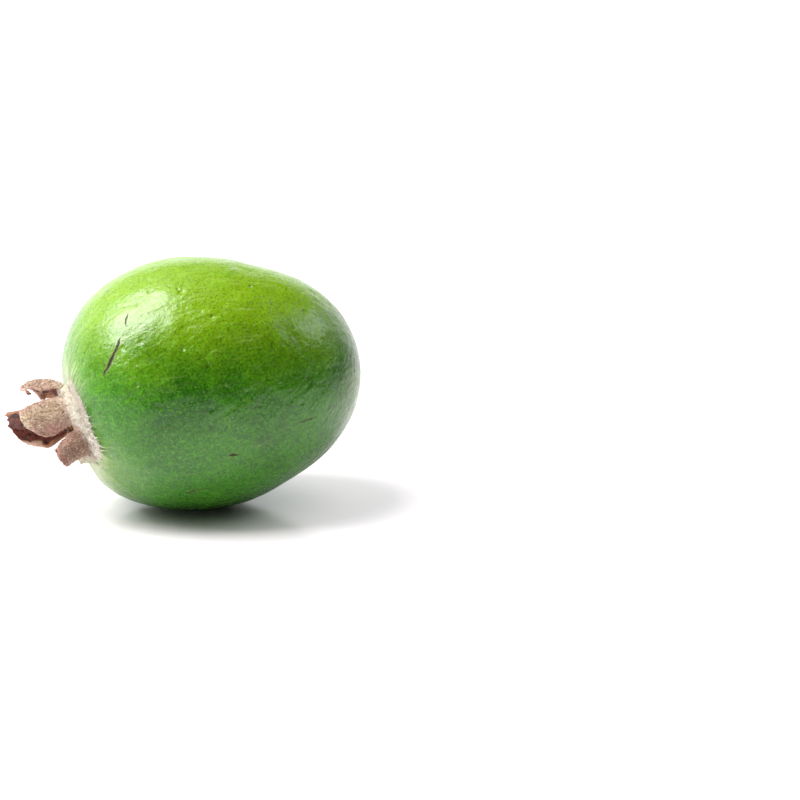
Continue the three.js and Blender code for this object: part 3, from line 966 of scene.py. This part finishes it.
def makeDriedMaterial():
    made, tree, shader = newMaterial("driedFlower", Roughness=0.8, Specular_IOR_Level=0.35)
    crown = crownPlace(tree)
    tone = grain(tree, crown, 1.4, 4.0, 0.65, 0.4)
    base = blendColour(tree, remap(tree, tone, 0.34, 0.6), colour(0.045, 0.020, 0.010),
                       colour(0.330, 0.130, 0.045))
    base = blendColour(tree, remap(tree, grain(tree, crown, 0.8, 2.0), 0.58, 0.7), base,
                       colour(0.42, 0.27, 0.14))
    tree.links.new(base, shader.inputs["Base Color"])
    bumpFrom(tree, shader, tone, 0.2 * mm)
    return made


# both in millimetres
styleForm = {"length": 4.9, "radius": 0.72, "bend": math.radians(26), "foot": -0.25, "parts": 24}
filamentForm = {
    "radius": 4.4,
    "ringParts": 72,
    "ringThick": 0.46,
    "count": 46,
    "parts": 8,
    "thick": 0.13,
    "shortest": 1.0,
    "longest": 3.4,
    "foot": -0.1,
    "knobShare": 0.35,  # how many still end in a knob
    "knob": (0.22, 0.26),
}


def makeStyle(material):
    form = styleForm
    path = []
    for k in range(form["parts"] + 1):
        u = k / form["parts"]
        bend = form["bend"] * u
        along = Vector((form["length"] * (1 - math.cos(bend)) / form["bend"], 0.25 * math.sin(u * 5),
                        form["length"] * math.sin(bend) / form["bend"] + form["foot"]))
        waist = form["radius"] * (1.7 - 1.25 * smoothStep(u, 0, 0.35) + 0.45 * smoothStep(u, 0.82, 0.93))
        waist *= 1 + 0.14 * math.sin(u * 31) + 0.1 * noise.noise(Vector((u * 9, 2, 5)))
        path.append((calyxPlace @ (along * mm), waist * mm * (0.55 if k == form["parts"] else 1.0)))
    style = tubes("driedStyle", [path])
    style.data.materials.append(material)
    applyModifier(style, "SUBSURF", levels=2, render_levels=2)
    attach(style, "root")
    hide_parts("style_stub")


def makeFilaments(material):
    form = filamentForm
    chance = random.Random(5)
    ring = []
    for k in range(form["ringParts"] + 1):
        angle = 2 * math.pi * k / form["ringParts"]
        lump = 1 + 0.22 * noise.noise(Vector((math.cos(angle) * 5, math.sin(angle) * 5, 1)))
        spot = Vector((math.cos(angle), math.sin(angle), 0)) * form["radius"] * (0.98 + 0.04 * lump)
        spot.z = form["foot"] + 0.12 * lump
        ring.append((calyxPlace @ (spot * mm), form["ringThick"] * lump * mm))
    paths = [ring]
    for k in range(form["count"]):
        angle = 2 * math.pi * (k + chance.uniform(-0.35, 0.35)) / form["count"]
        outward = Vector((math.cos(angle), math.sin(angle), 0))
        sideways = Vector((-outward.y, outward.x, 0))
        length = chance.uniform(form["shortest"], form["longest"])
        lean, curl = chance.uniform(-0.5, 0.35), chance.uniform(-0.7, 0.5)
        swing = chance.uniform(-0.5, 0.5)
        spot = outward * (form["radius"] + chance.uniform(-0.3, 0.3)) + Vector((0, 0, form["foot"] + 0.2))
        path = []
        for step in range(form["parts"] + 1):
            u = step / form["parts"]
            path.append((calyxPlace @ (spot * mm), form["thick"] * (1.25 - 0.7 * u) * mm))
            aim = Vector((0, 0, 1)) + outward * (lean + curl * u) + sideways * swing * u
            spot = spot + aim.normalized() * length / form["parts"]
        if chance.random() < form["knobShare"]:
            neck, end = form["knob"]
            path[-1] = (path[-1][0], end * mm)
            path[-2] = (path[-2][0], neck * mm)
        paths.append(path)
    filaments = tubes("filamentRing", paths)
    filaments.data.materials.append(material)
    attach(filaments, "root")
    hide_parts("stamen_ring")


scrapForm = {
    # place in the calyx frame and size, in millimetres
    "places": [((0.6, 9.1, 8.0), 0.9), ((7.4, 3.2, 2.9), 0.42), ((7.9, 1.4, 2.7), 0.34),
               ((7.7, -0.6, 2.3), 0.5), ((7.1, -1.5, 2.1), 0.4), ((8.4, -4.3, 6.7), 0.42),
               ((8.5, -4.0, 6.5), 0.34), ((3.0, 6.6, 1.4), 0.4)],
    "swell": (0.5, 0.9, 1.0, 0.8, 0.9, 0.35),
}


def makeScraps(material):
    # dark curled bits: under the tip of the upper sepal, beside the rolled one and in the notches
    chance = random.Random(41)
    paths = []
    for place, size in scrapForm["places"]:
        spot, path = Vector(place), []
        aim = Vector([chance.uniform(-1, 1) for _ in range(3)]).normalized()
        for swell in scrapForm["swell"]:
            path.append((calyxPlace @ (spot * mm), size * swell * 0.5 * mm))
            aim = (aim + Vector([chance.uniform(-0.9, 0.9) for _ in range(3)])).normalized()
            spot = spot + aim * size * 0.55
        paths.append(path)
    scraps = tubes("driedScraps", paths)
    scraps.data.materials.append(material)
    applyModifier(scraps, "SUBSURF", levels=1, render_levels=1)
    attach(scraps, "root")


driedFlower = makeDriedMaterial()
makeStyle(driedFlower)
makeFilaments(driedFlower)
makeScraps(driedFlower)
print("style, filaments and scraps made")


# short hairs on felt and sepals

fuzzLook = {
    "collarHairs": 5000,
    "tufts": 900,
    "sepalHairs": 1500,
    "thick": 0.042,  # millimetres
    "smearAngle": 331,  # where the wisps reach furthest over the skin, in degrees about the calyx
    "smearSpread": 11,
}


def makeFuzzMaterial(name, pale, tan):
    made, tree, shader = newMaterial(name, Roughness=0.9, Sheen_Weight=0.4, Specular_IOR_Level=0.2)
    tone = grain(tree, crownPlace(tree), 1.9, 3.0, 0.8)
    base = blendColour(tree, remap(tree, tone, 0.42, 0.62), pale, tan)
    tree.links.new(base, shader.inputs["Base Color"])
    return made


def growHairs(name, roots, material):
    # each hair is a bent three-sided spike; a root is (place, direction, droop, length, thickness)
    corners, faces = [], []
    for spot, direction, droop, length, thick in roots:
        across = direction.orthogonal().normalized()
        other = direction.cross(across).normalized()
        first = len(corners)
        middlePlace = spot + direction * length * 0.55
        tip = middlePlace + (direction + droop).normalized() * length * 0.5
        for centre, size in ((spot - direction * length * 0.12, 1.0), (middlePlace, 0.7)):
            for turn in range(3):
                angle = 2 * math.pi * turn / 3
                corners.append(centre + (across * math.cos(angle) + other * math.sin(angle))
                               * thick * size * mm)
        corners.append(tip)
        for turn in range(3):
            a, b = first + turn, first + (turn + 1) % 3
            faces.append((a, b, b + 3, a + 3))
            faces.append((a + 3, b + 3, first + 6))
        faces.append((first + 2, first + 1, first))
    piece = pieceFrom(name, corners, faces)
    piece.data.materials.append(material)
    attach(piece, "root")


def crownSurface(turn, away):
    # whether felt and skin lie there, then the place and normal of the outer one
    start = calyxPlace @ Vector((turn.x * away * mm, turn.y * away * mm, castFrom))
    onFelt, spot, normal, _ = collar.ray_cast(start, -calyxAxis)
    onSkin, skinSpot, skinNormal, _ = skin.ray_cast(start, -calyxAxis)
    if onSkin and (not onFelt or (skinSpot - spot).dot(calyxAxis) > 0):
        spot, normal = skinSpot, skinNormal
    return onFelt, onSkin, spot, normal


def collarRoots():
    chance = random.Random(17)
    roots = []
    while len(roots) < fuzzLook["collarHairs"]:
        angle = chance.uniform(0, 2 * math.pi)
        turn = Vector((math.cos(angle), math.sin(angle), 0))
        front = smoothStep(turn.x, 0.25, 0.75)
        away = footAway(turn) + chance.triangular(-2.8, mix(0.0, 1.6, front), mix(-1.0, 0.2, front))
        onFelt, _, spot, normal = crownSurface(turn, away)
        ragged = 0.9 * noise.noise(turn * 5.0 + Vector((2, 0, 0)))
        if not onFelt or away > footAway(turn) + 1.0 - ragged or (front < 0.35 and away > 7.6):
            continue
        outward = calyxTurn @ turn
        sideways = calyxTurn @ Vector((-turn.y, turn.x, 0))
        direction = (outward * chance.uniform(0.6, 1.5) + sideways * chance.uniform(-0.6, 0.6)
                     + normal * chance.uniform(0.1, 0.5)).normalized()
        droop = sideways * chance.uniform(-0.7, 0.7) - normal * chance.uniform(0.1, 0.45)
        length = chance.uniform(0.4, 1.5) * mix(0.45, 1.0, front)
        roots.append((spot, direction, droop, length * mm, fuzzLook["thick"]))
    return roots


def tuftRoots():
    # matted wisps that lie over the skin outside the felt, longest low on the front
    chance = random.Random(53)
    roots = []
    while len(roots) < fuzzLook["tufts"]:
        angle = chance.uniform(0, 2 * math.pi)
        turn = Vector((math.cos(angle), math.sin(angle), 0))
        front = smoothStep(turn.x, 0.25, 0.75)
        if chance.random() > smoothStep(front, 0.1, 0.8):
            continue
        beside = (math.degrees(angle) - fuzzLook["smearAngle"]) / fuzzLook["smearSpread"]
        smear = math.exp(-(beside ** 2))
        away = footAway(turn) + chance.triangular(-1.6, 0.9 + 1.6 * smear, -0.4 + 0.8 * smear)
        _, onSkin, spot, normal = crownSurface(turn, away)
        if not onSkin:
            continue
        outward = calyxTurn @ turn
        outward = (outward - normal * outward.dot(normal)).normalized()
        sideways = outward.cross(normal)
        direction = outward + sideways * chance.uniform(-0.45, 0.45) + normal * chance.uniform(0.06, 0.25)
        droop = sideways * chance.uniform(-0.6, 0.6) - normal * chance.uniform(0.2, 0.4)
        length = chance.uniform(0.9, 2.3) * (1 + 0.7 * smear) * mix(0.5, 1.0, front)
        roots.append((spot, direction.normalized(), droop, length * mm, chance.uniform(0.06, 0.11)))
    return roots


def sepalRoots():
    chance = random.Random(29)
    roots = []
    for sepal in sepals:
        faces = [face for face in sepal.data.polygons if face.material_index != 1]
        leafMap = sepal.data.uv_layers["leafMap"].data
        for _ in range(fuzzLook["sepalHairs"]):
            face = chance.choice(faces)
            along = leafMap[face.loop_start].uv.y
            if along > 0.84 and chance.random() < 0.75:
                continue
            shake = Vector((chance.uniform(-1, 1), chance.uniform(-1, 1), chance.uniform(-1, 1)))
            direction = (face.normal * 0.3 + shake * 0.6 + calyxAxis * 0.7).normalized()
            if direction.dot(face.normal) < 0.15:
                direction = (direction + face.normal * 0.5).normalized()
            droop = Vector((chance.uniform(-1, 1), chance.uniform(-1, 1), chance.uniform(-1, 1))) * 0.6
            roots.append((face.center.copy(), direction, droop, chance.uniform(0.2, 0.5) * mm,
                          chance.uniform(0.035, 0.06)))
    return roots


paleHair = makeFuzzMaterial("paleHair", colour(0.92, 0.91, 0.82), colour(0.62, 0.52, 0.38))
tanHair = makeFuzzMaterial("tanHair", colour(0.86, 0.68, 0.54), colour(0.30, 0.17, 0.11))
growHairs("collarFuzz", collarRoots(), paleHair)
growHairs("collarTufts", tuftRoots(), paleHair)
growHairs("sepalFuzz", sepalRoots(), tanHair)
print("hairs grown")


# floor, light and camera

stageLook = {
    "floorSize": 3.0,
    "shadeAt": 0.003,
    "glowReach": (0.009, 0.030),  # from none to full, distances from the spot where the fruit rests
    "cameraAway": 0.700,
    "lens": 157.5,
    "azimuth": -13.2,
    "elevation": 15.0,
    "aimFromMiddle": Vector((38.0, 0.0, -6.15)) * mm,
}


def makeFloor():
    pickNothing()
    bpy.ops.mesh.primitive_plane_add(size=stageLook["floorSize"], location=(0, 0, 0))
    floor = named("tableTop")
    made, tree, shader = newMaterial("whiteTable", Specular_IOR_Level=0.5)
    shader.inputs["Base Color"].default_value = colour(0.90, 0.85, 0.86)
    cloud = grain(tree, objectPlace(tree), 9.0, 2.0)
    tree.links.new(remap(tree, cloud, 0.3, 0.7, 0.14, 0.2), shader.inputs["Roughness"])
    # painted light: the table top glows faintly, and the glow is left out round the spot where the fruit
    # rests as a painted contact shadow
    offset = vectorCalc(tree, "SUBTRACT", objectPlace(tree), (stageLook["shadeAt"], 0, 0))
    paintedGlowMask = remap(tree, vectorCalc(tree, "LENGTH", offset), *stageLook["glowReach"])
    glow = blendColour(tree, paintedGlowMask, colour(0, 0, 0), colour(1.0, 0.92, 0.94))
    tree.links.new(glow, shader.inputs["Emission Color"])
    shader.inputs["Emission Strength"].default_value = 0.28
    floor.data.materials.append(made)


lampLook = {
    # direction from the fruit, distance, size, power and colour
    "overheadBox": ((-0.54, 0.10, 0.84), 0.75, (0.46, 0.60), 11.4, (0.97, 0.97, 1.0)),
    "sideBox": ((0.83, 0.15, 0.54), 0.85, (0.34, 0.24), 1.1, (0.86, 0.94, 1.0)),
}


def makeLamp(name, toward, away, size, power, tint):
    # a soft box that faces the fruit
    data = bpy.data.lights.new(name, "AREA")
    data.shape = "RECTANGLE"
    data.size, data.size_y = size
    data.energy = power
    data.color = tint
    lamp = bpy.data.objects.new(name, data)
    scene.collection.objects.link(lamp)
    direction = Vector(toward).normalized()
    lamp.location = middle + direction * away
    lamp.rotation_euler = direction.to_track_quat("Z", "Y").to_euler()


def makeWorld():
    # the lens sees plain white; the light comes from above, low from behind and a little from the left
    world = bpy.data.worlds.new("studio")
    world.use_nodes = True
    scene.world = world
    tree = world.node_tree
    out = tree.nodes["World Output"]
    glow = tree.nodes["Background"]
    direction = node(tree, "ShaderNodeTexCoord").outputs["Generated"]
    sideways, back, up = parts(tree, direction)
    height = vectorCalc(tree, "DOT_PRODUCT", direction, Vector((-0.42, 0.38, 0.82)).normalized())
    overhead = remap(tree, height, 0.60, 0.95, 0.0, 0.55)
    behind = times(tree, remap(tree, back, 0.25, 0.75), remap(tree, up, 0.52, 0.22))
    leftward = times(tree, remap(tree, sideways, -0.40, -0.90, 0.0, 0.3), remap(tree, up, 0.55, 0.15))
    level = calc(tree, "MAXIMUM", calc(tree, "MAXIMUM", overhead, behind), leftward)
    tree.links.new(calc(tree, "MULTIPLY_ADD", level, 1.5, 0.05), glow.inputs["Strength"])
    glow.inputs["Color"].default_value = colour(0.96, 0.98, 1.0)
    seen = node(tree, "ShaderNodeBackground")
    seen.inputs["Color"].default_value = colour(1, 1, 1)
    seen.inputs["Strength"].default_value = 1.05
    choose = node(tree, "ShaderNodeMixShader")
    tree.links.new(node(tree, "ShaderNodeLightPath").outputs["Is Camera Ray"], choose.inputs[0])
    tree.links.new(glow.outputs[0], choose.inputs[1])
    tree.links.new(seen.outputs[0], choose.inputs[2])
    tree.links.new(choose.outputs[0], out.inputs["Surface"])


def makeCamera():
    azimuth, elevation = math.radians(stageLook["azimuth"]), math.radians(stageLook["elevation"])
    away = Vector((math.sin(azimuth) * math.cos(elevation), -math.cos(azimuth) * math.cos(elevation),
                   math.sin(elevation)))
    data = bpy.data.cameras.new("camera")
    data.lens = stageLook["lens"]
    data.sensor_width = 36
    data.clip_start = 0.05
    camera = bpy.data.objects.new("camera", data)
    scene.collection.objects.link(camera)
    camera.location = middle + stageLook["aimFromMiddle"] + away * stageLook["cameraAway"]
    camera.rotation_euler = away.to_track_quat("Z", "Y").to_euler()
    bpy.context.scene.camera = camera


makeFloor()
for name, look in lampLook.items():
    makeLamp(name, *look)
makeWorld()
makeCamera()
scene.view_settings.view_transform = "Standard"
scene.view_settings.look = "None"
print("floor, light and camera made")
